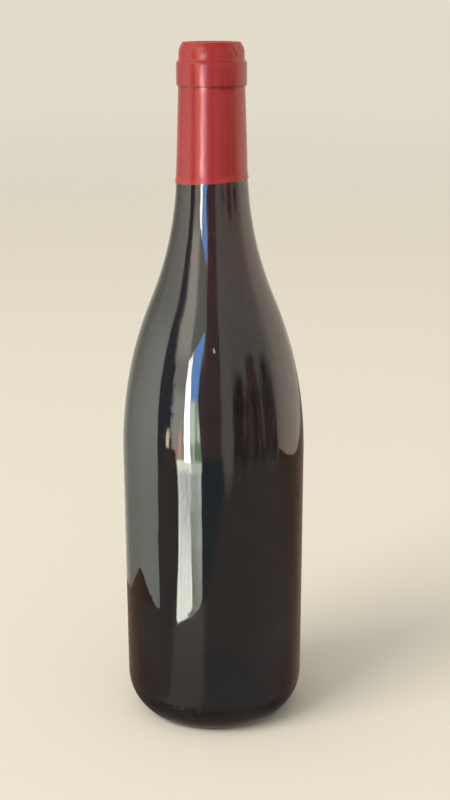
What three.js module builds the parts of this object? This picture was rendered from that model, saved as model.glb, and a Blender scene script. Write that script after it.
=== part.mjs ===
// A full 75 cl bottle of red wine with sloping shoulders: the dark glass bottle,
// the wine in it, and the red capsule over its mouth and neck.
// Millimetres, +Z up, with the origin on the axis, under the ring that the bottle stands on.

import * as THREE from 'three';

const SEGMENTS = 48;

// The bottle's outside, from the base up
const HEIGHT = 302;
const RING_INNER_RADIUS = 24;
const RING_OUTER_RADIUS = 27.4;
const FOOT_ARC = 5.7;
const HEEL_ARC = 22;
const HEEL_RADIUS = 39.8;
const SHOULDER_RADIUS = 40.6;
const SHOULDER_START = 125;
const SHOULDER_ARC = 176;
const SWEEP_ARC = 149.5;
const NECK_TOP = 284;
const NECK_TOP_RADIUS = 14.35;
const NECK_TAPER = 0.0316;

// The capsule over the mouth, with the glass's bead and lip showing through it
const CAPSULE_EDGE = 244;
const CAPSULE_WALL = 0.4;
const CAPSULE_GAP = 0.1;
const BEAD_RADIUS = 15.15;
const BEAD_BOTTOM = 284.2;
const BEAD_TOP = 295;
const BEAD_LOWER_ARC = 0.7;
const BEAD_UPPER_ARC = 1.6;
const LIP_RADIUS = 14.1;
const LIP_START = 296.8;
const LIP_ROUND_WIDTH = 2.2;
const LIP_ROUND_HEIGHT = 3.2;

// The bottle's inside
const BORE_RADIUS = 9.25;
const BORE_ROUND = 0.8;
const BORE_END = 262;
const NECK_WALL = 5.2;
const BODY_WALL = 3.5;
const NECK_WALL_END = 248;
const BODY_WALL_START = 190;
const FLOOR = 5;
const INNER_HEEL_HEIGHT = 14;
const VALLEY_RADIUS = 28;
const PUNT_DEPTH = 25;
const PUNT_WALL = 6;

// The wine
const WINE_LEVEL = 247;
const WINE_GAP = 0.3;

// How many straight steps each curve is drawn in
const SHOULDER_STEPS = 8;
const SWEEP_STEPS = 7;
const HEEL_STEPS = 5;
const FOOT_STEPS = 2;
const BELL_STEPS = 7;
const BEAD_STEPS = 3;
const LIP_STEPS = 4;

const point = (radius, height) => new THREE.Vector2(radius, height);
const degrees = THREE.MathUtils.degToRad;

// An arc of a circle or an ellipse, with 0 degrees pointing outwards and 90 up.
function arc(centre, radiusAcross, radiusUp, from, to, steps) {
  const points = [];
  for (let i = 0; i <= steps; i++) {
    const angle = degrees(from + (to - from) * i / steps);
    points.push(point(centre.x + radiusAcross * Math.cos(angle), centre.y + radiusUp * Math.sin(angle)));
  }
  return points;
}

// A bell-shaped hump on the axis, from its peak out to its foot, level at both.
function bell(peak, foot, footRadius) {
  const points = [];
  for (let i = 0; i <= BELL_STEPS; i++) {
    const share = i / BELL_STEPS;
    points.push(point(footRadius * share, foot + (peak - foot) * (1 + Math.cos(Math.PI * share)) / 2));
  }
  return points;
}

// Moves an outline to the left of its travel by a distance, with mitred corners.
// A point on the axis stays on it.
function offset(outline, distance) {
  const normals = outline.slice(1).map((next, i) => {
    const along = next.clone().sub(outline[i]).normalize();
    return point(-along.y, along.x);
  });
  return outline.map((corner, i) => {
    const before = normals[Math.max(i - 1, 0)];
    const after = normals[Math.min(i, normals.length - 1)];
    const mitre = before.clone().add(after).multiplyScalar(distance / (1 + before.dot(after)));
    if (corner.x === 0) return point(0, corner.y + Math.sign(mitre.y) * distance);
    return corner.clone().add(mitre);
  });
}

// Heights in equal steps, without the last.
function heights(from, to, steps) {
  return Array.from({ length: steps }, (_, i) => from + (to - from) * i / steps);
}

// The neck is a straight taper. The shoulder is an arc that leaves the wall upright,
// and the sweep is a hollow arc that touches both the shoulder's arc and the neck.
const neckSlope = Math.atan(NECK_TAPER);
const neckOutwards = point(Math.cos(neckSlope), Math.sin(neckSlope));
const downTheNeck = point(Math.sin(neckSlope), -Math.cos(neckSlope));
const shoulderCentre = point(SHOULDER_RADIUS - SHOULDER_ARC, SHOULDER_START);
const sweepCentre = touchingCentre();
const shoulderToSweep = sweepCentre.clone().sub(shoulderCentre).normalize();
const SHOULDER_END = shoulderCentre.y + SHOULDER_ARC * shoulderToSweep.y;
const SWEEP_END = sweepCentre.y - SWEEP_ARC * neckOutwards.y;

// The centre of the sweep's arc: one arc radius out from the neck's line,
// and the two arcs' radii added together away from the shoulder's centre.
function touchingCentre() {
  const start = point(NECK_TOP_RADIUS, NECK_TOP).addScaledVector(neckOutwards, SWEEP_ARC);
  const reach = start.clone().sub(shoulderCentre);
  const along = reach.dot(downTheNeck);
  const spare = reach.lengthSq() - (SHOULDER_ARC + SWEEP_ARC) ** 2;
  return start.addScaledVector(downTheNeck, -along - Math.sqrt(along ** 2 - spare));
}

// The glass's outer radius at a height between the heel and the capsule.
function outerRadius(height) {
  if (height < SHOULDER_START) {
    return THREE.MathUtils.mapLinear(height, heelTop(), SHOULDER_START, HEEL_RADIUS, SHOULDER_RADIUS);
  }
  if (height < SHOULDER_END) {
    return shoulderCentre.x + Math.sqrt(SHOULDER_ARC ** 2 - (height - shoulderCentre.y) ** 2);
  }
  if (height < SWEEP_END) {
    return sweepCentre.x - Math.sqrt(SWEEP_ARC ** 2 - (height - sweepCentre.y) ** 2);
  }
  return NECK_TOP_RADIUS + (NECK_TOP - height) * NECK_TAPER;
}

// The heel is two arcs that touch: a small one off the ring, and a large one up to the wall.
function heelTop() {
  const inwards = HEEL_ARC - (HEEL_RADIUS - RING_OUTER_RADIUS);
  return FOOT_ARC + Math.sqrt((HEEL_ARC - FOOT_ARC) ** 2 - inwards ** 2);
}

function heelOutline() {
  const footCentre = point(RING_OUTER_RADIUS, FOOT_ARC);
  const heelCentre = point(HEEL_RADIUS - HEEL_ARC, heelTop());
  const meeting = THREE.MathUtils.radToDeg(footCentre.clone().sub(heelCentre).angle()) - 360;
  return [
    ...arc(footCentre, FOOT_ARC, FOOT_ARC, -90, meeting, FOOT_STEPS),
    ...arc(heelCentre, HEEL_ARC, HEEL_ARC, meeting, 0, HEEL_STEPS).slice(1),
  ];
}

// The capsule's outside, from its lower edge up over the bead and the lip, to where its top is level.
function capsuleOutline() {
  const beadFoot = point(BEAD_RADIUS - BEAD_LOWER_ARC, BEAD_BOTTOM + BEAD_LOWER_ARC);
  const beadHead = point(BEAD_RADIUS - BEAD_UPPER_ARC, BEAD_TOP - BEAD_UPPER_ARC);
  const lipHead = point(LIP_RADIUS - LIP_ROUND_WIDTH, HEIGHT - LIP_ROUND_HEIGHT);
  return [
    point(outerRadius(CAPSULE_EDGE), CAPSULE_EDGE),
    point(NECK_TOP_RADIUS, NECK_TOP - BEAD_LOWER_ARC),
    ...arc(beadFoot, BEAD_LOWER_ARC, BEAD_LOWER_ARC, -80, 0, BEAD_STEPS),
    ...arc(beadHead, BEAD_UPPER_ARC, BEAD_UPPER_ARC, 0, 55, BEAD_STEPS),
    point(LIP_RADIUS, LIP_START),
    ...arc(lipHead, LIP_ROUND_WIDTH, LIP_ROUND_HEIGHT, 0, 90, LIP_STEPS),
  ];
}

// The glass's thickness, from the body's to the neck's.
function wallAt(height) {
  const share = THREE.MathUtils.smoothstep(height, BODY_WALL_START, NECK_WALL_END);
  return THREE.MathUtils.lerp(BODY_WALL, NECK_WALL, share);
}

// The inside of the glass, from the axis on the floor out and up to the foot of the bore.
function innerOutline() {
  const wallFoot = FLOOR + INNER_HEEL_HEIGHT;
  const innerRadius = (height) => outerRadius(height) - wallAt(height);
  const heelWidth = innerRadius(wallFoot) - VALLEY_RADIUS;
  const rising = [
    ...heights(SHOULDER_START, SHOULDER_END, SHOULDER_STEPS),
    ...heights(SHOULDER_END, NECK_WALL_END, SWEEP_STEPS),
    NECK_WALL_END,
  ];
  return [
    ...bell(PUNT_DEPTH + PUNT_WALL, FLOOR, VALLEY_RADIUS),
    ...arc(point(VALLEY_RADIUS, wallFoot), heelWidth, INNER_HEEL_HEIGHT, -90, 0, HEEL_STEPS).slice(1),
    ...rising.map((height) => point(innerRadius(height), height)),
  ];
}

// Turns an outline, drawn up its outer side, into a closed solid about the axis.
function turned(name, outline, colour, roughness, metalness) {
  const material = new THREE.MeshStandardMaterial({ color: colour, roughness, metalness });
  const mesh = new THREE.Mesh(new THREE.LatheGeometry(outline, SEGMENTS), material);
  mesh.name = name;
  return mesh;
}

// The glass: the punt, the standing ring, the heel, the wall, and the finish under the capsule,
// then down the bore and back along the inside to the floor.
function glassBottle() {
  const finish = offset(capsuleOutline(), CAPSULE_WALL + CAPSULE_GAP);
  const mouth = finish.at(-1).y;
  const outside = [
    ...heights(SHOULDER_START, SHOULDER_END, SHOULDER_STEPS),
    ...heights(SHOULDER_END, CAPSULE_EDGE - 1, SWEEP_STEPS),
    CAPSULE_EDGE - 1,
  ];
  return turned('glass_bottle', [
    ...bell(PUNT_DEPTH, 0, RING_INNER_RADIUS),
    ...heelOutline(),
    ...outside.map((height) => point(outerRadius(height), height)),
    ...finish,
    point(BORE_RADIUS + BORE_ROUND, mouth),
    point(BORE_RADIUS, mouth - BORE_ROUND),
    point(BORE_RADIUS, BORE_END),
    ...innerOutline().reverse(),
  ], 0x26231f, 0.06, 0);
}

// The wine, up to its level in the neck, just inside the capsule.
function wine() {
  const side = offset(innerOutline(), WINE_GAP);
  const above = side.findIndex((corner) => corner.y > WINE_LEVEL);
  const share = (WINE_LEVEL - side[above - 1].y) / (side[above].y - side[above - 1].y);
  const rim = side[above - 1].clone().lerp(side[above], share);
  return turned('wine', [...side.slice(0, above), rim, point(0, WINE_LEVEL)], 0x3b0d16, 0.1, 0);
}

// The capsule: a thin cup, upside down over the finish.
function capsule() {
  const outside = [...capsuleOutline(), point(0, HEIGHT)];
  const inside = offset(outside, CAPSULE_WALL).reverse();
  return turned('capsule', [...inside, ...outside], 0xa33335, 0.4, 0.3);
}

const bottle = new THREE.Group();
bottle.name = 'wine_bottle';
bottle.add(glassBottle(), wine(), capsule());

// The outlines are turned about three.js's Y axis, which becomes Z here.
bottle.rotation.x = Math.PI / 2;

export default bottle;
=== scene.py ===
import math
import random

import bpy
from mathutils import Matrix, Vector


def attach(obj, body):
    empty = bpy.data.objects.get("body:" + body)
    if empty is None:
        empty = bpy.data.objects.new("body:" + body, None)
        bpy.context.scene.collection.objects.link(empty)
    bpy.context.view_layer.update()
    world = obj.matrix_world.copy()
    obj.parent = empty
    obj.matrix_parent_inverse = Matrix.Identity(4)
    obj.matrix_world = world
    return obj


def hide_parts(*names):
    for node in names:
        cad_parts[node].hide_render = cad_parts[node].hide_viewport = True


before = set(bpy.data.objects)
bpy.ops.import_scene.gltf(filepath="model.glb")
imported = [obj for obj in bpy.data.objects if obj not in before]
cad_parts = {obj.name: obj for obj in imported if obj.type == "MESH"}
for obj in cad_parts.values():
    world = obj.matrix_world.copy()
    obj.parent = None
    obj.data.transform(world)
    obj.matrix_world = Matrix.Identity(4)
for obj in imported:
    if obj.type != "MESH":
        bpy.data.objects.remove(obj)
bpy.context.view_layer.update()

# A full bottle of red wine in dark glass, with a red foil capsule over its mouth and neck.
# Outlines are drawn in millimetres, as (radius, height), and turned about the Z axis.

MM = 0.001
ROOT = "root"

# The glass's outside
RING_INNER_RADIUS = 24
RING_OUTER_RADIUS = 27.4
FOOT_ARC = 5.7
HEEL_ARC = 22
HEEL_RADIUS = 39.8
SHOULDER_RADIUS = 40.6
SHOULDER_START = 125
SHOULDER_ARC = 176
SWEEP_ARC = 149.5
NECK_TOP = 284
NECK_TOP_RADIUS = 14.35
NECK_TAPER = 0.0316

# The foil capsule
FOIL_EDGE = 244
FOIL_THICKNESS = 0.2
UNDER_FOIL_START = FOIL_EDGE - 1.4
UNDER_FOIL_END = FOIL_EDGE + 2
FOIL_GAP = 0.12
FOIL_FLARE = 0.3
FOIL_FLARE_HEIGHT = 3.5
FOIL_FLARE_STEPS = (0, 0.5, 1, 1.6, 2.4, FOIL_FLARE_HEIGHT)
FOIL_TILT = 0.75
FOIL_SHIFT = 0.16
FOIL_TILT_END = 262
BEAD_RADIUS = 15.15
BEAD_BOTTOM = 284.2
BEAD_TOP = 295
BEAD_LOWER_ARC = 0.7
BEAD_UPPER_ARC = 1.6
BEAD_FILLET = 2
LIP_RADIUS = 14.1
LIP_TOP = 302.5
LIP_START = 297.7
LIP_LEAN = 1.5
LIP_CORNER = 0.35
LIP_STEPS = 9
LIP_DISH_RADIUS = 10.4
LIP_DISH_DEPTH = 0.45
LIP_DISH_SLOPE = 0.7
DENTS = 46
DENT_SEED = 5
DENT_SHIFTS = (-0.4, 0.4)
DENT_HALF_WIDTHS = (0.5, 1.2)
DENT_HEIGHTS = (297, 302.5)
DENT_HALF_HEIGHTS = (1.5, 3.5)
DENT_SLOPES = (-0.25, 0.25)
DENT_DEPTHS = (0.03, 0.11)
DENT_FADE = (6, 12)
AXIS_CLEARANCE = 1

# The larger folds, as (angle, height, half width, half height, slope, depth)
RIGHT_FOLDS = (
    (-62, 299.5, 1.6, 2.6, 0.5, 0.22),
    (-47, 298.6, 1.3, 3.6, -0.6, 0.30),
    (-37, 296.4, 4.2, 1.1, 0.0, 0.32),
    (-33, 300.6, 1.5, 2.8, 0.7, 0.34),
    (-22, 297.8, 1.2, 4.2, -0.5, 0.34),
    (-16, 294.6, 3.4, 1.2, 0.3, 0.20),
    (-9, 300.0, 1.4, 3.4, 0.4, 0.40),
    (4, 297.2, 2.8, 1.2, 0.0, 0.30),
    (9, 300.2, 1.3, 3.2, -0.4, 0.26),
)

# The glass's inside, and the wine
BORE_RADIUS = 9.25
BORE_ROUND = 0.8
BORE_END = 262
NECK_WALL = 5.2
BODY_WALL = 3.5
NECK_WALL_END = 248
BODY_WALL_START = 190
FLOOR_THICKNESS = 5
INNER_HEEL_HEIGHT = 14
VALLEY_RADIUS = 28
PUNT_DEPTH = 25
PUNT_WALL = 6
WINE_LEVEL = 247
WINE_OVERLAP = 0.15
MENISCUS = 1.2

# The dots on the front of the heel. The first one's angle and the steps to the next are in degrees.
DOTS_HEIGHT = 13.2
DOT_RADIUS = 0.65
DOT_RISE = 0.07
DOT_CUT = 0.2
DOT_SIDES = 10
DOT_RINGS = 8
FIRST_DOT = 4.6
DOTS_APART = 5.6
PAIRS_APART = 17

# How finely the pieces are turned
ROUND_STEPS = 192
FOIL_ROUND_STEPS = 320
CURVE_STEP = 2.4
FOOT_STEPS = 8
HEEL_STEPS = 14
INNER_HEEL_STEPS = 10
CORNER_STEPS = 6
LIP_CORNER_STEPS = 4
MENISCUS_STEPS = 5
MERGE_DISTANCE = 0.01 * MM
SMOOTH_ANGLE = math.radians(32)


def point(radius, height):
    return Vector((radius, height))


def mixed(start, end, share):
    return start + (end - start) * share


def smooth_share(value, start, end):
    """0 before start and 1 after end, with a soft change between."""
    share = min(max((value - start) / (end - start), 0), 1)
    return share * share * (3 - 2 * share)


def steps_for(length):
    return max(3, round(length / CURVE_STEP))


def arc(centre, across, up, start, end, steps):
    """Points on an arc, with 0 degrees pointing outwards and 90 up."""
    angles = [math.radians(mixed(start, end, i / steps)) for i in range(steps + 1)]
    return [centre + point(across * math.cos(a), up * math.sin(a)) for a in angles]


def bell(peak, foot, foot_radius):
    """A bell-shaped hump on the axis, from its peak out to its foot, level at both."""
    steps = steps_for(foot_radius)
    shares = [i / steps for i in range(steps + 1)]
    rise = [(1 + math.cos(math.pi * share)) / 2 for share in shares]
    return [point(foot_radius * s, mixed(foot, peak, r)) for s, r in zip(shares, rise)]


def heights(start, end):
    """Even heights from start up to just below end."""
    steps = steps_for(end - start)
    return [mixed(start, end, i / steps) for i in range(steps)]


def offset(outline, distance):
    """An outline moved to the left of its travel, with mitred corners."""
    normals = []
    for here, after in zip(outline, outline[1:]):
        along = (after - here).normalized()
        normals.append(point(-along.y, along.x))
    moved = []
    for i, corner in enumerate(outline):
        before = normals[max(i - 1, 0)]
        after = normals[min(i, len(normals) - 1)]
        mitre = (before + after) * (distance / (1 + before.dot(after)))
        if corner.x == 0:
            mitre = point(0, math.copysign(distance, mitre.y))
        moved.append(corner + mitre)
    return moved


# The neck is a straight taper. The shoulder is an arc that leaves the wall upright,
# and the sweep is a hollow arc that touches the shoulder's arc and the neck.
NECK_SLOPE = math.atan(NECK_TAPER)
NECK_OUT = point(math.cos(NECK_SLOPE), math.sin(NECK_SLOPE))
NECK_DOWN = point(math.sin(NECK_SLOPE), -math.cos(NECK_SLOPE))
SHOULDER_CENTRE = point(SHOULDER_RADIUS - SHOULDER_ARC, SHOULDER_START)


def touching_centre():
    """The centre of the sweep's arc."""
    start = point(NECK_TOP_RADIUS, NECK_TOP) + NECK_OUT * SWEEP_ARC
    reach = start - SHOULDER_CENTRE
    along = reach.dot(NECK_DOWN)
    spare = reach.length_squared - (SHOULDER_ARC + SWEEP_ARC) ** 2
    return start + NECK_DOWN * (-along - math.sqrt(along ** 2 - spare))


SWEEP_CENTRE = touching_centre()
SHOULDER_END = SHOULDER_CENTRE.y + SHOULDER_ARC * (SWEEP_CENTRE - SHOULDER_CENTRE).normalized().y
SWEEP_END = SWEEP_CENTRE.y - SWEEP_ARC * NECK_OUT.y
HEEL_TOP = FOOT_ARC + math.sqrt(
    (HEEL_ARC - FOOT_ARC) ** 2 - (HEEL_ARC - HEEL_RADIUS + RING_OUTER_RADIUS) ** 2
)


def outer_radius(height):
    """The glass's outer radius between the heel and the capsule's bead."""
    if height < SHOULDER_START:
        share = (height - HEEL_TOP) / (SHOULDER_START - HEEL_TOP)
        return mixed(HEEL_RADIUS, SHOULDER_RADIUS, share)
    if height < SHOULDER_END:
        return SHOULDER_CENTRE.x + math.sqrt(SHOULDER_ARC ** 2 - (height - SHOULDER_CENTRE.y) ** 2)
    if height < SWEEP_END:
        return SWEEP_CENTRE.x - math.sqrt(SWEEP_ARC ** 2 - (height - SWEEP_CENTRE.y) ** 2)
    return NECK_TOP_RADIUS + (NECK_TOP - height) * NECK_TAPER


def heel_outline():
    """Two touching arcs, from the standing ring round to the foot of the wall."""
    foot = point(RING_OUTER_RADIUS, FOOT_ARC)
    heel = point(HEEL_RADIUS - HEEL_ARC, HEEL_TOP)
    away = foot - heel
    meeting = math.degrees(math.atan2(away.y, away.x))
    lower = arc(foot, FOOT_ARC, FOOT_ARC, -90, meeting, FOOT_STEPS)
    upper = arc(heel, HEEL_ARC, HEEL_ARC, meeting, 0, HEEL_STEPS)
    return lower + upper[1:]


def finish_outline():
    """The bead and the lip, from the neck's top to where the lip is level."""
    bead_foot = point(BEAD_RADIUS - BEAD_LOWER_ARC, BEAD_BOTTOM + BEAD_LOWER_ARC)
    bead_head = point(BEAD_RADIUS - BEAD_UPPER_ARC, BEAD_TOP - BEAD_UPPER_ARC)
    lip_head = point(LIP_RADIUS - LIP_LEAN - LIP_CORNER, LIP_TOP - LIP_CORNER)
    shares = [i / LIP_STEPS for i in range(LIP_STEPS + 1)]
    lean = [point(LIP_RADIUS - LIP_LEAN * s * s, mixed(LIP_START, lip_head.y, s)) for s in shares]
    across = LIP_RADIUS + BEAD_FILLET - bead_head.x
    meeting = math.acos(across / (BEAD_UPPER_ARC + BEAD_FILLET))
    fillet = bead_head + point(across, across * math.tan(meeting))
    meeting = math.degrees(meeting)
    return [
        point(NECK_TOP_RADIUS, NECK_TOP - BEAD_LOWER_ARC),
        *arc(bead_foot, BEAD_LOWER_ARC, BEAD_LOWER_ARC, -80, 0, CORNER_STEPS),
        *arc(bead_head, BEAD_UPPER_ARC, BEAD_UPPER_ARC, 0, meeting, CORNER_STEPS),
        *arc(fillet, BEAD_FILLET, BEAD_FILLET, 180 + meeting, 180, CORNER_STEPS)[1:],
        *lean,
        *arc(lip_head, LIP_CORNER, LIP_CORNER, 30, 90, LIP_CORNER_STEPS),
    ]


def inner_outline():
    """The inside of the glass, from the axis on the floor up to the foot of the bore."""
    wall_foot = FLOOR_THICKNESS + INNER_HEEL_HEIGHT

    def inner(height):
        share = smooth_share(height, BODY_WALL_START, NECK_WALL_END)
        return point(outer_radius(height) - mixed(BODY_WALL, NECK_WALL, share), height)

    heel_width = inner(wall_foot).x - VALLEY_RADIUS
    valley = point(VALLEY_RADIUS, wall_foot)
    rising = heights(wall_foot, NECK_WALL_END)[1:] + [NECK_WALL_END]
    return [
        *bell(PUNT_DEPTH + PUNT_WALL, FLOOR_THICKNESS, VALLEY_RADIUS),
        *arc(valley, heel_width, INNER_HEEL_HEIGHT, -90, 0, INNER_HEEL_STEPS)[1:],
        *[inner(height) for height in rising],
    ]


# Modelling by hand, in edit mode

def deselect_all():
    if bpy.context.object and bpy.context.object.mode != "OBJECT":
        bpy.ops.object.mode_set(mode="OBJECT")
    bpy.ops.object.select_all(action="DESELECT")


def keep(piece):
    """A finished piece rides on the bottle's one body."""
    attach(piece, ROOT)


def turned(name, outline, steps=ROUND_STEPS):
    """A closed piece turned from an outline that starts and ends on the axis or meets itself."""
    deselect_all()
    bpy.ops.mesh.primitive_plane_add(size=MM)
    piece = bpy.context.object
    piece.name = name
    piece.data.name = name
    bpy.ops.object.mode_set(mode="EDIT")
    bpy.ops.mesh.select_all(action="SELECT")
    bpy.ops.mesh.merge(type="CENTER")
    bpy.ops.transform.translate(value=(outline[0].x * MM, 0, outline[0].y * MM))
    for before, after in zip(outline, outline[1:]):
        step = (after - before) * MM
        bpy.ops.mesh.extrude_vertices_move(TRANSFORM_OT_translate={"value": (step.x, 0, step.y)})
    bpy.ops.mesh.select_all(action="SELECT")
    bpy.ops.mesh.spin(steps=steps, angle=math.tau, center=(0, 0, 0), axis=(0, 0, 1))
    bpy.ops.mesh.select_all(action="SELECT")
    bpy.ops.mesh.remove_doubles(threshold=MERGE_DISTANCE)
    bpy.ops.mesh.normals_make_consistent(inside=False)
    bpy.ops.mesh.select_all(action="DESELECT")
    bpy.ops.object.mode_set(mode="OBJECT")
    bpy.ops.object.shade_smooth_by_angle(angle=SMOOTH_ANGLE)
    return piece


def glass_bottle():
    """The hollow bottle. Its neck and finish are a little smaller under the foil."""
    finish = offset(finish_outline(), FOIL_THICKNESS + FOIL_GAP)
    mouth = finish[-1].y
    wall = heights(HEEL_TOP, UNDER_FOIL_START)[1:] + [UNDER_FOIL_START]
    outline = [
        *bell(PUNT_DEPTH, 0, RING_INNER_RADIUS),
        *heel_outline(),
        *[point(outer_radius(height), height) for height in wall],
        point(outer_radius(UNDER_FOIL_END) - FOIL_THICKNESS - FOIL_GAP, UNDER_FOIL_END),
        *finish,
        point(BORE_RADIUS + BORE_ROUND, mouth),
        point(BORE_RADIUS, mouth - BORE_ROUND),
        point(BORE_RADIUS, BORE_END),
        *reversed(inner_outline()),
    ]
    piece = turned("bottle_glass", outline)
    keep(piece)
    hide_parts("glass_bottle")
    return piece


def heel_dots():
    """Two pairs of small plain domes on the front of the heel, one modelled and the others copied."""
    height = DOTS_HEIGHT - HEEL_TOP
    lean = math.asin(height / HEEL_ARC)
    radius = HEEL_RADIUS - HEEL_ARC + HEEL_ARC * math.cos(lean)
    deselect_all()
    bpy.ops.mesh.primitive_uv_sphere_add(segments=DOT_SIDES, ring_count=DOT_RINGS, radius=DOT_RADIUS * MM)
    piece = bpy.context.object
    piece.name = "heel_dots"
    piece.data.name = "heel_dots"
    bpy.ops.object.mode_set(mode="EDIT")
    bpy.ops.mesh.select_all(action="SELECT")
    cut = (0, 0, -DOT_CUT * DOT_RADIUS * MM)
    bpy.ops.mesh.bisect(plane_co=cut, plane_no=(0, 0, 1), clear_inner=True, use_fill=True)
    bpy.ops.mesh.select_all(action="SELECT")
    bpy.ops.transform.resize(value=(1, 1, DOT_RISE / DOT_RADIUS))
    bpy.ops.transform.rotate(value=lean - math.pi / 2, orient_axis="Y", center_override=(0, 0, 0))
    bpy.ops.transform.translate(value=(radius * MM, 0, DOTS_HEIGHT * MM))
    turn = math.radians(90 + FIRST_DOT)
    bpy.ops.transform.rotate(value=turn, orient_axis="Z", center_override=(0, 0, 0))
    for apart in (DOTS_APART, PAIRS_APART):
        bpy.ops.mesh.select_all(action="SELECT")
        bpy.ops.mesh.spin(steps=1, angle=math.radians(apart), center=(0, 0, 0), axis=(0, 0, 1), dupli=True)
    bpy.ops.mesh.select_all(action="SELECT")
    bpy.ops.mesh.normals_make_consistent(inside=False)
    bpy.ops.object.mode_set(mode="OBJECT")
    bpy.ops.object.shade_smooth_by_angle(angle=SMOOTH_ANGLE)
    keep(piece)
    return piece


def wine():
    """The wine, which reaches just into the glass and curls up a little round its level."""
    side = [p for p in offset(inner_outline(), -WINE_OVERLAP) if p.y < WINE_LEVEL + MENISCUS]
    rim = side[-1].x
    curl = arc(point(rim - MENISCUS, WINE_LEVEL + MENISCUS), MENISCUS, MENISCUS, 0, -90, MENISCUS_STEPS)
    side = [p for p in side if p.y < WINE_LEVEL]
    piece = turned("red_wine", [*side, *curl, point(0, WINE_LEVEL)])
    keep(piece)
    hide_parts("wine")
    return piece


def dent_list():
    """Small dents all the way round the foil's lip, and the larger folds at its right."""
    chance = random.Random(DENT_SEED)
    dents = []
    for i in range(DENTS):
        angle = 360 * (i + chance.uniform(*DENT_SHIFTS)) / DENTS
        half_width = chance.uniform(*DENT_HALF_WIDTHS)
        height = chance.uniform(*DENT_HEIGHTS)
        half_height = chance.uniform(*DENT_HALF_HEIGHTS)
        slope = chance.uniform(*DENT_SLOPES)
        dents.append((angle, height, half_width, half_height, slope, chance.uniform(*DENT_DEPTHS)))
    dents += RIGHT_FOLDS
    return [(math.radians(angle), *others) for angle, *others in dents]


def crumple(piece):
    """Presses the dents into the foil's lip, and sets its lower edge a little askew."""
    dents = dent_list()
    for vertex in piece.data.vertices:
        spot = vertex.co / MM
        radius = math.hypot(spot.x, spot.y)
        if radius < AXIS_CLEARANCE:
            continue
        angle = math.atan2(spot.y, spot.x)
        depth = 0
        for place, height, width, reach, slope, deepest in dents:
            up = spot.z - height
            across = math.remainder(angle - place, math.tau) * LIP_RADIUS - slope * up
            apart = (across / width) ** 2 + (up / reach) ** 2
            if apart < 1:
                depth += deepest * (1 - apart) ** 2
        inwards = depth * smooth_share(radius, *DENT_FADE) / radius
        loose = 1 - smooth_share(spot.z, FOIL_EDGE, FOIL_TILT_END)
        side = spot.x / NECK_TOP_RADIUS
        vertex.co.x -= (spot.x * inwards + FOIL_SHIFT * loose) * MM
        vertex.co.y -= spot.y * inwards * MM
        vertex.co.z += FOIL_TILT * side * loose * MM
    piece.data.update()


def capsule():
    """The thin foil cup, from its flared lower edge up over the lip."""
    straight = [FOIL_EDGE + height for height in FOIL_FLARE_STEPS]
    straight += heights(FOIL_EDGE + FOIL_FLARE_HEIGHT, NECK_TOP - BEAD_LOWER_ARC)[1:]
    foil = []
    for height in straight:
        flare = FOIL_FLARE * (1 - smooth_share(height, FOIL_EDGE, FOIL_EDGE + FOIL_FLARE_HEIGHT))
        foil.append(point(outer_radius(height) + flare, height))
    lip_end = LIP_TOP - LIP_DISH_DEPTH
    outside = [*foil, *finish_outline(), point(LIP_DISH_RADIUS, LIP_TOP),
               point(LIP_DISH_RADIUS - LIP_DISH_SLOPE, lip_end), point(0, lip_end)]
    inside = offset(outside, FOIL_THICKNESS)
    piece = turned("foil_capsule", [*reversed(inside), *outside], FOIL_ROUND_STEPS)
    crumple(piece)
    keep(piece)
    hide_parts("capsule")
    return piece


# Materials

WHITE = (1, 1, 1, 1)
GLASS_TINT = (0.45, 0.42, 0.20, 1)
GLASS_DENSITY = 430
GLASS_INDEX = 1.46
GLASS_ROUGHNESS = 0.015
SMUDGE_ROUGHNESS = 0.03
GLASS_WAVE_RISE = 0.0006
WINE_TINT = (0.87, 0.0, 0.05, 1)
WINE_DENSITY = 400
WINE_INDEX = 1.34
WINE_CLOUD = (0.92, 0.86, 0.88, 1)
FOIL_DARKER_RED = (0.285, 0.010, 0.012, 1)
FOIL_RED = (0.325, 0.014, 0.016, 1)
FOIL_EDGE_RED = (0.39, 0.014, 0.020, 1)
# Painted shade in the groove just under the bead
FOIL_GROOVE_SHADE = (0.09, 0.003, 0.005, 1)
FOIL_SHINE = (1.0, 0.96, 0.84, 1)
FOIL_SHINE_LEVEL = 0.34
FOIL_ROUGHNESS = 0.21
FOIL_BRUSHING = 0.1
FOIL_CREASE_RISE = 0.0003
FOIL_CREASE_STRENGTH = 0.6
EDGE_FADE = (2.6, 0.6)
# Where the painted shade under the bead fades in and out, in millimetres from the bead's foot
GROOVE_SHADE_LOWER_FADE = (-1.1, -0.3)
GROOVE_SHADE_UPPER_FADE = (0.6, 0.1)


class Value:
    """A socket or a number that adds Math nodes when it is used in an expression."""

    def __init__(self, nodes, socket):
        self.nodes = nodes
        self.socket = socket

    def math(self, operation, *others):
        """A Math node with this value first."""
        values = [other.socket if isinstance(other, Value) else other for other in others]
        return self.nodes.add("ShaderNodeMath", {"operation": operation}, [self.socket, *values])

    def swapped(self, operation, other):
        """A Math node with a plain number first."""
        return self.nodes.add("ShaderNodeMath", {"operation": operation}, [other, self.socket])

    def __add__(self, other):
        return self.math("ADD", other)

    def __sub__(self, other):
        return self.math("SUBTRACT", other)

    def __mul__(self, other):
        return self.math("MULTIPLY", other)

    def __truediv__(self, other):
        return self.math("DIVIDE", other)

    def __radd__(self, other):
        return self.swapped("ADD", other)

    def __rsub__(self, other):
        return self.swapped("SUBTRACT", other)

    def __rmul__(self, other):
        return self.swapped("MULTIPLY", other)


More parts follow.
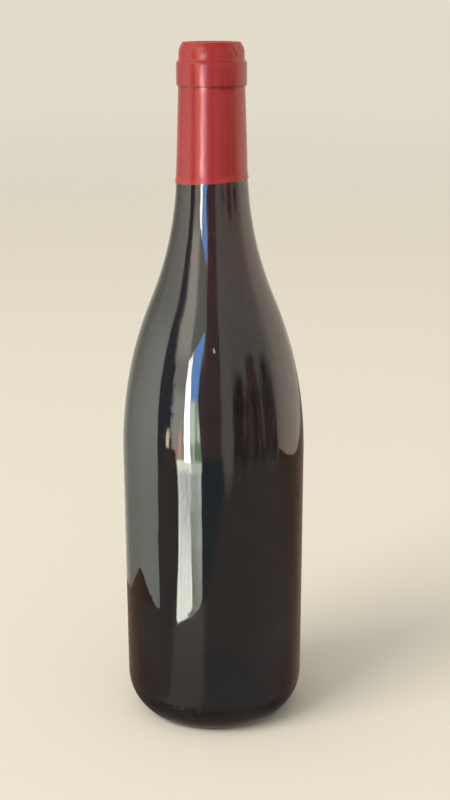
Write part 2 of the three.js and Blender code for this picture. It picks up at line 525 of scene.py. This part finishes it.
class Nodes:
    """The nodes of one material, world or lamp."""

    def __init__(self, owner, output):
        owner.use_nodes = True
        self.tree = owner.node_tree
        self.tree.nodes.clear()
        self.output = self.tree.nodes.new(output)

    def add(self, kind, settings=None, values=None, output=0):
        """Adds a node: settings first, then its sockets' values or links. Returns one output."""
        node = self.tree.nodes.new(kind)
        for name, setting in (settings or {}).items():
            if name == "stops":
                self.set_stops(node.color_ramp, setting)
            else:
                setattr(node, name, setting)
        pairs = values.items() if isinstance(values, dict) else enumerate(values or [])
        for key, value in pairs:
            self.feed(node.inputs[key], value)
        return Value(self, node.outputs[output])

    def feed(self, socket, value):
        if isinstance(value, Value):
            value = value.socket
        if isinstance(value, bpy.types.NodeSocket):
            self.tree.links.new(value, socket)
        elif value is not None:
            socket.default_value = value

    def set_stops(self, ramp, stops):
        while len(ramp.elements) < len(stops):
            ramp.elements.new(1)
        for element, (place, colour) in zip(ramp.elements, stops):
            element.position = place
            element.color = (*colour, 1)

    def finish(self, value, socket="Surface"):
        self.tree.links.new(value.socket, self.output.inputs[socket])

    def place(self):
        return self.add("ShaderNodeTexCoord", output="Object")

    def noise(self, vector, scale, detail=2.0, roughness=0.5):
        sockets = {"Vector": vector, "Scale": scale, "Detail": detail, "Roughness": roughness}
        return self.add("ShaderNodeTexNoise", values=sockets)

    def stretched(self, vector, scale):
        return self.add("ShaderNodeMapping", values={"Vector": vector, "Scale": scale})

    def share(self, value, start, end):
        """0 at start and 1 at end, with a soft change between."""
        sockets = {"Value": value, "From Min": start, "From Max": end}
        return self.add("ShaderNodeMapRange", {"interpolation_type": "SMOOTHSTEP"}, sockets)

    def blend(self, factor, first, second):
        """A mix of two colours. They are the Mix node's sockets 6 and 7, and its output 2."""
        return self.add("ShaderNodeMix", {"data_type": "RGBA"}, {0: factor, 6: first, 7: second}, 2)

    def bump(self, height, distance, strength=1.0):
        return self.add("ShaderNodeBump", values={"Height": height, "Distance": distance,
                                                  "Strength": strength})

    def reach(self, place):
        """How far a place is from the middle of the floor."""
        return self.add("ShaderNodeVectorMath", {"operation": "LENGTH"}, [place], 1)

    def part(self, vector, axis):
        return self.add("ShaderNodeSeparateXYZ", values=[vector], output=axis)


def new_material(name):
    material = bpy.data.materials.new(name)
    return material, Nodes(material, "ShaderNodeOutputMaterial")


def dress(piece, material):
    piece.data.materials.clear()
    piece.data.materials.append(material)


def dark_glass():
    """Near-black brown-green bottle glass, clear enough to show the wine in the neck."""
    material, nodes = new_material("dark bottle glass")
    place = nodes.place()
    waves = nodes.noise(nodes.stretched(place, (1, 1, 0.35)), 45, 1.0)
    ripples = nodes.noise(place, 260, 2.0)
    smudges = nodes.share(nodes.noise(place, 70, 4.0, 0.6), 0.55, 0.75)
    bump = nodes.bump(waves + ripples * 0.05, GLASS_WAVE_RISE)
    glass = nodes.add("ShaderNodeBsdfPrincipled", values={
        "Base Color": WHITE,
        "Roughness": GLASS_ROUGHNESS + smudges * SMUDGE_ROUGHNESS,
        "IOR": GLASS_INDEX,
        "Transmission Weight": 1.0,
        "Normal": bump,
    })
    nodes.finish(glass)
    tint = nodes.add("ShaderNodeVolumeAbsorption", values={"Color": GLASS_TINT, "Density": GLASS_DENSITY})
    nodes.finish(tint, "Volume")
    return material


def red_wine():
    """Deep red wine that lets a little light through where it is thin."""
    material, nodes = new_material("deep red wine")
    cloud = nodes.noise(nodes.place(), 60, 3.0)
    wine_body = nodes.add("ShaderNodeBsdfPrincipled", values={
        "Base Color": nodes.blend(cloud, WINE_CLOUD, WHITE),
        "Roughness": 0.0,
        "IOR": WINE_INDEX,
        "Transmission Weight": 1.0,
    })
    nodes.finish(wine_body)
    tint = nodes.add("ShaderNodeVolumeAbsorption", values={"Color": WINE_TINT, "Density": WINE_DENSITY})
    nodes.finish(tint, "Volume")
    return material


def above_level(nodes, height, level, start, end):
    """A soft change from 0 to 1 between two heights in millimetres over a level."""
    return nodes.share(height, (level + start) * MM, (level + end) * MM)


def red_foil():
    """Satin red lacquer on thin foil, with fine creases round the lip and a painted shade line under the
    bead.
    """
    material, nodes = new_material("satin red foil")
    place = nodes.place()
    brush = nodes.noise(nodes.stretched(place, (1, 1, 0.08)), 900, 3.0)
    cloud = nodes.noise(place, 160, 3.0)
    height = nodes.part(place, "Z")
    edge = above_level(nodes, height, FOIL_EDGE, *EDGE_FADE)
    colour = nodes.blend(cloud, FOIL_DARKER_RED, FOIL_RED)
    colour = nodes.blend(edge * 0.6, colour, FOIL_EDGE_RED)
    # A darker band of painted shade just under the bead
    groove_shade = above_level(nodes, height, BEAD_BOTTOM, *GROOVE_SHADE_LOWER_FADE)
    groove_shade = groove_shade * above_level(nodes, height, BEAD_BOTTOM, *GROOVE_SHADE_UPPER_FADE)
    colour = nodes.blend(groove_shade * 0.5, colour, FOIL_GROOVE_SHADE)
    dents = nodes.noise(nodes.stretched(place, (1, 1, 0.5)), 120, 2.0)
    creases = dents + FOIL_BRUSHING * brush
    bump = nodes.bump(creases, FOIL_CREASE_RISE, FOIL_CREASE_STRENGTH)
    foil = nodes.add("ShaderNodeBsdfPrincipled", values={
        "Base Color": colour,
        "Roughness": FOIL_ROUGHNESS + FOIL_BRUSHING * brush,
        "Metallic": 0.0,
        "Specular IOR Level": FOIL_SHINE_LEVEL,
        "Specular Tint": FOIL_SHINE,
        "Normal": bump,
    })
    nodes.finish(foil)
    return material


# Floor, light and camera, in metres. Angles are in degrees round the bottle: 0 is towards the
# camera and 90 is to its left. Where a name ends in FADE, it holds a start and an end.

FLOOR_SIZE = 400
FLOOR_DROP = 0.00005
FLOOR_COLOUR = (0.74, 0.70, 0.60, 1)
FAR_FLOOR_COLOUR = (0.80, 0.76, 0.66, 1)
FAR_COLOUR = (0.76, 0.71, 0.59, 1)
FLOOR_FADE = (0.8, 4)
HAZE_FADE = (0.9, 4.5)
DOME_COLOUR = (1.0, 0.97, 0.92, 1)
DOME_STRENGTH = 0.98
DOME_RIGHT_STRENGTH = 0.5
DOME_FADE = (-0.2, 0.8)
KEY_POWER = 26
KEY_SIZE = 1.2
KEY_COLOUR = (1.0, 0.97, 0.92)
KEY_TURN = 50
KEY_DISTANCE = 1.7
KEY_HEIGHT = 1.5
KEY_AIM = (0, 0, 0.15)

CAMERA_PLACE = (0, -0.7, 0.3224)
CAMERA_PITCH = 14.15
CAMERA_YAW = -0.430
CAMERA_ROLL = -0.181
CAMERA_NEAR = 0.01
CAMERA_FAR = 1000
FOCAL_PIXELS = 1614
FRAME_HEIGHT_PIXELS = 800
SENSOR = 36

# The screens that the glass and the foil reflect
SCREEN_RADIUS = 0.45
SCREEN_HEIGHT = 0.7
SCREEN_STRENGTH = 4.0
SCREEN_STEP = 4
LOW_COLOUR = (0.124, 0.126, 0.136, 1)
LOW_SIDE_COLOUR = (0.085, 0.060, 0.048, 1)

# The ring's own colours, as (angle, colour)
RING_COLOURS = (
    (-180, (0.17, 0.16, 0.14)),
    (-140, (0.26, 0.24, 0.20)),
    (-100, (0.57, 0.49, 0.41)),
    (-90, (0.46, 0.41, 0.36)),
    (-82, (0.35, 0.34, 0.31)),
    (-25, (0.36, 0.37, 0.34)),
    (-8, (0.16, 0.125, 0.14)),
    (10, (0.17, 0.115, 0.13)),
    (13, (0.52, 0.53, 0.48)),
    (62, (0.78, 0.81, 0.74)),
    (66, (0.74, 0.80, 0.76)),
    (110, (0.34, 0.37, 0.36)),
    (180, (0.17, 0.16, 0.14)),
)

# Panels on the ring, as (first angle, last angle, lowest, highest, colour, soft sides in degrees,
# soft ends in metres)
TALL_PANELS = (
    (34, 54, 0.0, 0.69, (1.44, 1.46, 1.26), 3, 0.012),
    (34, 54, 0.20, 0.30, (0.98, 0.97, 0.86), 3, 0.02),
    (48, 52, 0.11, 0.20, (1.15, 1.25, 1.40), 2, 0.012),
)
LOW_PANELS = (
    (53.5, 58.5, 0.05, 0.10, (3.5, 3.0, 2.2), 1, 0.012),
    (38, 40.5, 0.0, 0.11, (3.6, 1.8, 1.1), 0.8, 0.012),
    (44, 60, -0.1, 0.052, (0.13, 0.12, 0.115), 0.8, 0.006),
    (11, 20, 0.0, 0.29, (0.20, 0.17, 0.20), 1, 0.03),
)
PALE_FOOT_PANELS = (
    (27.5, 42.5, -0.1, 0.028, (4.4, 4.7, 4.1), 0.6, 0.004),
    (15.5, 26.5, -0.1, 0.024, (2.6, 3.0, 2.6), 0.6, 0.004),
)
DARK_PANELS = (
    (-38, -29, -0.1, 0.25, (0.06, 0.058, 0.062), 1.2, 0.02),
    (-58, -45, -0.1, 0.29, (0.17, 0.12, 0.105), 1.2, 0.02),
    (-55, -49, -0.1, 0.20, (0.07, 0.062, 0.06), 1.2, 0.02),
    (-77, -67, -0.1, 0.26, (0.09, 0.082, 0.08), 1.2, 0.02),
)
FRONT_PANELS = (
    (-24, -9, -0.1, 0.69, (0.41, 0.39, 0.37), 1.5, 0.02),
    (-12, 14, -0.1, 0.04, (0.04, 0.09, 0.13), 1.5, 0.012),
    (-0.9, -0.1, 0.327, 0.335, (10.0, 9.0, 7.5), 0.3, 0.002),
)

# The dark blue panel's sides lean, in degrees for each metre up, and its first side is ragged
DARK_START = 51.5
DARK_END = 72
DARK_MIDDLE = 0.19
DARK_START_LEAN = 20
DARK_END_LEAN = 17
RAGGEDNESS = 22

# The bright panels' tops slant, in metres for each degree, and their inner side bulges
TOP_TURN = 14.7
TOP_HEIGHT = 0.385
TOP_SLANT = 0.0043
TOP_FADE = (0.012, 0.004)
BULGE = 19.3
BULGE_HEIGHT = 0.2
BULGE_SLOPE = 34
LEAST_BULGE = 14.5
BESIDE_END = 28.5
WHITE_START = 28.6
WHITE_END = 34.8
WHITE_FADE = (0.20, 0.30)
GREEN_FOOT_FADE = (0.038, 0.022)
BLUE_FADE = (0.215, 0.195)

# The dark shapes in front and at the right, and the low round foot behind them
FRONT_START = -86
FRONT_END = -9
STREAKS_FADE = (0.40, 0.26)
DARK_FOOT_FADE = (0.10, 0.06)
LOW_FADE = (0.05, 0.0)
ROUND_FOOT_START = -179
ROUND_FOOT_END = -88
ROUND_FOOT_TURN = -114
ROUND_FOOT_WIDTH = 26
ROUND_FOOT_DEPTH = 0.03
ROUND_FOOT_FADE = (0.008, 0.004)

DARK_BLUE = (0.07, 0.11, 0.155, 1)
BRIGHT_BLUE = (0.70, 1.50, 3.1, 1)
PALE_GREEN = (3.2, 3.6, 3.1, 1)
DEEP_GREEN = (0.8, 1.15, 0.7, 1)
GREEN_FOOT = (2.8, 3.0, 2.6, 1)
BRIGHT_WHITE = (12.0, 12.0, 11.4, 1)
SOFT_WHITE = (6.6, 6.5, 5.9, 1)
DARK_STREAK = (0.06, 0.06, 0.07, 1)
PALE_STREAK = (0.25, 0.23, 0.215, 1)
DARK_FOOT = (0.055, 0.065, 0.078, 1)

# The side screen, and the flat ones just over the floor
SIDE_RADIUS = 0.178
SIDE_START = 67.5
SIDE_END = 160
SIDE_FADE = (62, 130)
SIDE_COLOUR = (0.74, 0.79, 0.74, 1)
SIDE_MIDDLE_COLOUR = (0.98, 1.04, 0.97, 1)
SIDE_FAR_COLOUR = (0.18, 0.174, 0.148, 1)
NOTCH_TURN = 101
NOTCH_WIDTH = 27
NOTCH_HEIGHT = 0.02
GROOVES_SHARE = 0.3
GRAIN_SHARE = 0.35
GRAIN_FADE = (0.28, 0.34)
CORNER_FADE = (-3.5, 0)
CORNER_REACH = 0.008
END_BLUR = 0.003
FLOOR_SCREEN_START = 0.03
FLOOR_SCREEN_HEIGHT = 0.0003
NEAR_FADE = (0.14, 0.06)
ASIDE_FADE = (68, 112)
ASIDE_NEARER = 28
# Close round the bottle's foot the floor screen holds a painted shadow, darkest at the flanks
FOOT_FADE = (0.058, 0.042)
FLANK_FADE = (25, 65)
FOOT_SHADOW_COLOUR = (0.088, 0.072, 0.063, 1)
FLANK_SHADOW_COLOUR = (0.035, 0.028, 0.025, 1)


def studio_floor():
    """A pale floor that fades into the dome's colour far away."""
    deselect_all()
    bpy.ops.mesh.primitive_plane_add(size=FLOOR_SIZE, location=(0, 0, -FLOOR_DROP))
    floor = bpy.context.object
    floor.name = "studio_floor"
    material, nodes = new_material("pale studio floor")
    place = nodes.place()
    reach = nodes.reach(place)
    grain = nodes.noise(place, 400, 2.0)
    colour = nodes.blend(nodes.share(reach, *FLOOR_FADE), FLOOR_COLOUR, FAR_FLOOR_COLOUR)
    colour = nodes.blend(grain * 0.03, colour, WHITE)
    paint = nodes.add("ShaderNodeBsdfDiffuse", values={"Color": colour, "Roughness": 0.5})
    haze = nodes.add("ShaderNodeEmission", values=[FAR_COLOUR, 1.0])
    nodes.finish(nodes.add("ShaderNodeMixShader", values=[nodes.share(reach, *HAZE_FADE), paint, haze]))
    material.cycles.emission_sampling = "NONE"
    dress(floor, material)


def studio_world():
    """A soft dome, dimmer at the right. Where the camera sees it, it has the far floor's colour."""
    world = bpy.data.worlds.new("soft studio dome")
    bpy.context.scene.world = world
    nodes = Nodes(world, "ShaderNodeOutputWorld")
    seen = nodes.add("ShaderNodeBackground", values=[FAR_COLOUR, 1.0])
    direction = nodes.add("ShaderNodeTexCoord", output="Generated")
    rightwards = nodes.share(nodes.part(direction, "X"), *DOME_FADE)
    strength = DOME_STRENGTH + rightwards * (DOME_RIGHT_STRENGTH - DOME_STRENGTH)
    light = nodes.add("ShaderNodeBackground", values=[DOME_COLOUR, strength])
    camera_ray = nodes.add("ShaderNodeLightPath", output="Is Camera Ray")
    nodes.finish(nodes.add("ShaderNodeMixShader", values=[camera_ray, light, seen]))


def away(degrees, distance, height):
    """A place round the bottle, at an angle, a distance from its axis and a height."""
    angle = math.radians(degrees)
    return Vector((-distance * math.sin(angle), -distance * math.cos(angle), height))


def soft_key():
    """A large soft light from the upper left, for the shapes and the floor."""
    data = bpy.data.lights.new("soft_key", "AREA")
    data.size = KEY_SIZE
    data.energy = KEY_POWER
    data.color = KEY_COLOUR
    lamp = bpy.data.objects.new("soft_key", data)
    lamp.location = away(KEY_TURN, KEY_DISTANCE, KEY_HEIGHT)
    aim = Vector(KEY_AIM) - lamp.location
    lamp.rotation_euler = aim.to_track_quat("-Z", "Y").to_euler()
    lamp.visible_glossy = False
    lamp.visible_camera = False
    lamp.visible_transmission = False
    bpy.context.scene.collection.objects.link(lamp)


def screen(name, inner, outer, low, high, start, end):
    """A bent or flat studio screen round the bottle that shows only in reflections."""
    deselect_all()
    bpy.ops.mesh.primitive_plane_add(size=MM)
    piece = bpy.context.object
    piece.name = name
    bpy.ops.object.mode_set(mode="EDIT")
    bpy.ops.mesh.select_all(action="SELECT")
    bpy.ops.mesh.merge(type="CENTER")
    foot = away(start, inner, low)
    bpy.ops.transform.translate(value=foot)
    bpy.ops.mesh.extrude_vertices_move(TRANSFORM_OT_translate={"value": away(start, outer, high) - foot})
    bpy.ops.mesh.select_all(action="SELECT")
    turn = math.radians(end - start)
    steps = max(2, round(abs(end - start) / SCREEN_STEP))
    bpy.ops.mesh.spin(steps=steps, angle=turn, center=(0, 0, 0), axis=(0, 0, 1))
    bpy.ops.mesh.select_all(action="SELECT")
    bpy.ops.mesh.remove_doubles(threshold=MERGE_DISTANCE)
    bpy.ops.object.mode_set(mode="OBJECT")
    piece.visible_camera = False
    piece.visible_diffuse = False
    piece.visible_transmission = False
    piece.visible_shadow = False
    return piece


def glow(nodes, colour):
    """A screen's own light."""
    return nodes.add("ShaderNodeEmission", values=[colour, SCREEN_STRENGTH])


def turn_round(nodes, place):
    """The angle round the bottle, from 0 at its back through 0.5 at the camera's side."""
    left = nodes.part(place, "X").math("MULTIPLY", -1)
    front = nodes.part(place, "Y").math("MULTIPLY", -1)
    return left.math("ARCTAN2", front) / math.tau + 0.5


def turn_at(degrees):
    return 0.5 + degrees / 360


def degrees_from(turn, degrees):
    """How far a turn is past an angle, in degrees."""
    return (turn - turn_at(degrees)) * 360


def band(nodes, turn, start, end, soft=1.0):
    """1 between two angles in degrees, and 0 outside them."""
    rise = nodes.share(turn, turn_at(start - soft), turn_at(start + soft))
    fall = nodes.share(turn, turn_at(end + soft), turn_at(end - soft))
    return rise * fall


class RingPaint:
    """Colours the ring of screens, one panel over another."""

    def __init__(self, nodes):
        self.nodes = nodes
        self.place = nodes.place()
        self.turn = turn_round(nodes, self.place)
        self.height = nodes.part(self.place, "Z")
        self.drift = nodes.noise(nodes.stretched(self.place, (1, 1, 0.25)), 9, 2.0)
        self.streaks = nodes.noise(nodes.stretched(self.place, (1, 1, 0.06)), 34, 3.0, 0.6)
        stops = [(turn_at(degrees), colour) for degrees, colour in RING_COLOURS]
        self.colour = nodes.add("ShaderNodeValToRGB", {"stops": stops}, [self.turn])

    def cover(self, share, colour):
        """Covers what is there with a colour, as far as the share says."""
        self.colour = self.nodes.blend(share, self.colour, colour)

    def panels(self, rows):
        """Covers soft-edged panels, in the order of their rows."""
        for start, end, low, high, colour, soft, blur in rows:
            inside = band(self.nodes, self.turn, start, end, soft)
            over = self.nodes.share(self.height, low - blur, low + blur)
            under = self.nodes.share(self.height, high + blur, high - blur)
            self.cover(inside * over * under, (*colour, 1))

    def left_side(self):
        """Tall pale panels, a dark blue one with a ragged side, and small ones near the floor."""
        nodes = self.nodes
        self.panels(TALL_PANELS)
        ragged = (nodes.noise(self.place, 80, 3.0) - 0.55) * RAGGEDNESS
        lean = (self.height - DARK_MIDDLE + self.drift * 0.1 - 0.05) * DARK_START_LEAN
        dark_start = degrees_from(self.turn, DARK_START) - lean + ragged
        dark_end = degrees_from(self.turn, DARK_END) + (self.height - DARK_MIDDLE) * DARK_END_LEAN
        self.cover(nodes.share(dark_start, -1, 1) * nodes.share(dark_end, 1, -1), DARK_BLUE)
        self.panels(LOW_PANELS)

    def bright_panels(self):
        """A white panel, with a blue one over a green one beside it. Their tops slant."""
        nodes = self.nodes
        height = self.height
        slanted_top = TOP_HEIGHT - degrees_from(self.turn, TOP_TURN) * TOP_SLANT
        under_top = nodes.share(height + self.drift * 0.02 - slanted_top, *TOP_FADE)
        bulge = (BULGE - (height - BULGE_HEIGHT).math("ABSOLUTE") * BULGE_SLOPE).math("MAXIMUM", LEAST_BULGE)
        inner_edge = degrees_from(self.turn, 0) - bulge
        beside = nodes.share(inner_edge, -0.8, 0.8) * band(nodes, self.turn, 0, BESIDE_END) * under_top
        mottling = nodes.share(self.streaks + nodes.share(height, 0.10, 0.06) * 0.25, 0.46, 0.72)
        green = nodes.blend(mottling, PALE_GREEN, DEEP_GREEN)
        green = nodes.blend(nodes.share(height, *GREEN_FOOT_FADE), green, GREEN_FOOT)
        lower = nodes.share(height + self.drift * 0.04, *BLUE_FADE)
        self.cover(beside, nodes.blend(lower, BRIGHT_BLUE, green))
        white = nodes.blend(nodes.share(height, *WHITE_FADE), BRIGHT_WHITE, SOFT_WHITE)
        self.cover(band(nodes, self.turn, WHITE_START, WHITE_END, 0.8) * under_top, white)
        self.panels(PALE_FOOT_PANELS)

    def front_and_right(self):
        """Dark low shapes with a paler upright between them, and a low round foot at the right."""
        nodes = self.nodes
        height = self.height
        front = band(nodes, self.turn, FRONT_START, FRONT_END, 2)
        streaked = nodes.blend(nodes.share(self.streaks, 0.42, 0.62), DARK_STREAK, PALE_STREAK)
        below = nodes.share(height + self.drift * 0.10 + self.streaks * 0.12, *STREAKS_FADE)
        self.cover(below * front, streaked)
        self.cover(nodes.share(height + self.drift * 0.04, *DARK_FOOT_FADE) * front, DARK_FOOT)
        self.panels(DARK_PANELS)
        self.cover(nodes.share(height, *LOW_FADE) * front, LOW_COLOUR)
        self.panels(FRONT_PANELS)
        aside = degrees_from(self.turn, ROUND_FOOT_TURN) / ROUND_FOOT_WIDTH
        foot = nodes.share(height - aside * aside * ROUND_FOOT_DEPTH, *ROUND_FOOT_FADE)
        self.cover(foot * band(nodes, self.turn, ROUND_FOOT_START, ROUND_FOOT_END), LOW_SIDE_COLOUR)


def ring_screen():
    """The ring of screens: pale behind, dimmer in front, with bright tall panels at the left."""
    ring = screen("ring_screen", SCREEN_RADIUS, SCREEN_RADIUS, 0, SCREEN_HEIGHT, 0, 360)
    material, nodes = new_material("studio screens")
    paint = RingPaint(nodes)
    paint.left_side()
    paint.bright_panels()
    paint.front_and_right()
    nodes.finish(glow(nodes, paint.colour))
    dress(ring, material)


def side_screen():
    """A pale blue-grey screen close to the bottle's left, towards the back, with a notched foot."""
    side = screen("side_screen", SIDE_RADIUS, SIDE_RADIUS, 0, SCREEN_HEIGHT, SIDE_START, SIDE_END)
    material, nodes = new_material("blue-grey screen")
    place = nodes.place()
    turn = turn_round(nodes, place)
    height = nodes.part(place, "Z")
    middle = nodes.share(height, 0.04, 0.14) * nodes.share(height, 0.27, 0.20)
    strong = nodes.blend(middle, SIDE_COLOUR, SIDE_MIDDLE_COLOUR)
    fading = nodes.share(turn, *[turn_at(degrees) for degrees in SIDE_FADE])
    colour = nodes.blend(fading, strong, SIDE_FAR_COLOUR)
    notch_slope = degrees_from(turn, NOTCH_TURN).math("ABSOLUTE") / NOTCH_WIDTH
    notch = (1 - notch_slope) * NOTCH_HEIGHT
    above = nodes.share(height - notch, -0.0005, 0.0005)
    nodes.finish(glow(nodes, nodes.blend(above, LOW_SIDE_COLOUR, colour)))
    dress(side, material)


def screen_grooves(nodes, turn):
    """How much darker a flat screen is, in fine lines that run outwards."""
    lines = nodes.add("ShaderNodeTexNoise", {"noise_dimensions": "1D"},
                      {"W": turn * 360, "Scale": 0.6, "Detail": 2.0})
    return nodes.share(lines, 0.45, 0.65) * GROOVES_SHARE


def screen_grain(nodes, place, reach, first):
    """How much darker a flat screen is, in grains far out beside its first side."""
    grain = nodes.share(nodes.noise(place, 50, 3.0, 0.7), 0.48, 0.56) * nodes.share(reach, *GRAIN_FADE)
    return grain * nodes.share(first, 0, 2) * nodes.share(first, 11, 7) * GRAIN_SHARE


def flat_screen(name, sides, near, height, near_colour, far_colour, far=SCREEN_RADIUS, soft=0.5, slant=0.0):
    """A flat screen just over the floor that changes colour on the way out.

    Its sides are the first side's angle at the inner end, the same at the outer end, and the last
    side's angle. They are soft over the degrees given, and its inner end can slant.
    """
    inner_start, start, end = sides
    strip = screen(name, near, far, height, height, min(inner_start, start), end)
    material, nodes = new_material(name)
    place = nodes.place()
    turn = turn_round(nodes, place)
    reach = nodes.reach(place)
    inwards = (far - reach) / (far - near)
    first = degrees_from(turn, start) - inwards * inwards * (inner_start - start)
    last = degrees_from(turn, end)
    colour = nodes.blend(nodes.share(reach, near, far), (*near_colour, 1), (*far_colour, 1))
    colour = nodes.blend(screen_grooves(nodes, turn), colour, LOW_COLOUR)
    colour = nodes.blend(screen_grain(nodes, place, reach, first), colour, LOW_COLOUR)
    inside = nodes.share(first, 0, 2 * soft) * nodes.share(last, 0, -2 * soft)
    begins = near + last * -slant + nodes.share(last, *CORNER_FADE) * CORNER_REACH
    inside = inside * nodes.share(reach - begins, 0.0, END_BLUR)
    clear = nodes.add("ShaderNodeBsdfTransparent")
    nodes.finish(nodes.add("ShaderNodeMixShader", values=[inside, clear, glow(nodes, colour)]))
    dress(strip, material)


def floor_screen():
    """A dark screen just over the whole floor, warmer and darker at the sides and behind, with a painted
    shadow close round the bottle's foot that the heel reflects.
    """
    low = FLOOR_SCREEN_HEIGHT
    disc = screen("floor_screen", FLOOR_SCREEN_START, SCREEN_RADIUS, low, low, 0, 360)
    material, nodes = new_material("dark floor screen")
    place = nodes.place()
    reach = nodes.reach(place)
    aside = degrees_from(turn_round(nodes, place), 0).math("ABSOLUTE")
    nearer = nodes.share(reach, *NEAR_FADE) * ASIDE_NEARER
    colour = nodes.blend(nodes.share(aside + nearer, *ASIDE_FADE), LOW_COLOUR, LOW_SIDE_COLOUR)
    # A painted shadow close round the bottle's foot, which the heel reflects
    foot = nodes.blend(nodes.share(aside, *FLANK_FADE), FOOT_SHADOW_COLOUR, FLANK_SHADOW_COLOUR)
    colour = nodes.blend(nodes.share(reach, *FOOT_FADE), colour, foot)
    nodes.finish(glow(nodes, colour))
    dress(disc, material)


def flat_screens():
    """The flat screens that make the long bright strips, and the dark shapes beside them."""
    flat_screen("sheen_screen", (8, 8, 50), 0.05, 0.0005, (0.24, 0.22, 0.21), (0.34, 0.32, 0.30),
                far=0.2, soft=4)
    flat_screen("pale_glare", (22.8, 28, 43.5), 0.155, 0.0009, (5.2, 5.5, 4.75), (3.5, 3.6, 3.35),
                slant=0.0015)
    flat_screen("olive_gap", (19, 20, 30), 0.168, 0.0007, (1.1, 1.1, 0.85), (2.4, 2.8, 2.6),
                slant=0.0016)
    flat_screen("green_glare", (15.5, 15.5, 22.5), 0.171, 0.0008, (1.5, 1.6, 1.4), (2.9, 3.3, 2.9),
                slant=0.004)
    flat_screen("teal_shade", (13.5, -13.6, 15), 0.185, 0.0006, (0.06, 0.09, 0.12), (0.03, 0.09, 0.14),
                soft=1.0)
    flat_screen("upright_foot", (-15.5, -26, -12), 0.38, 0.0007, (0.2, 0.18, 0.17), (0.38, 0.36, 0.34),
                soft=1.5)


def studio_lights():
    soft_key()
    ring_screen()
    side_screen()
    floor_screen()
    flat_screens()


def camera():
    """The camera, with its lens in pixels of the frame's height and its turns in degrees."""
    data = bpy.data.cameras.new("camera")
    data.sensor_width = SENSOR
    data.lens = FOCAL_PIXELS * SENSOR / FRAME_HEIGHT_PIXELS
    data.clip_start = CAMERA_NEAR
    data.clip_end = CAMERA_FAR
    eye = bpy.data.objects.new("camera", data)
    turn = Matrix.Rotation(math.radians(CAMERA_YAW), 4, "Z")
    tip = Matrix.Rotation(math.radians(90 - CAMERA_PITCH), 4, "X")
    roll = Matrix.Rotation(math.radians(CAMERA_ROLL), 4, "Z")
    eye.matrix_world = Matrix.Translation(CAMERA_PLACE) @ turn @ tip @ roll
    bpy.context.scene.collection.objects.link(eye)
    bpy.context.scene.camera = eye


camera()
studio_floor()
studio_world()
studio_lights()

glass = dark_glass()
dress(glass_bottle(), glass)
dress(heel_dots(), glass)
dress(wine(), red_wine())
dress(capsule(), red_foil())

bpy.context.scene.view_settings.view_transform = "Standard"
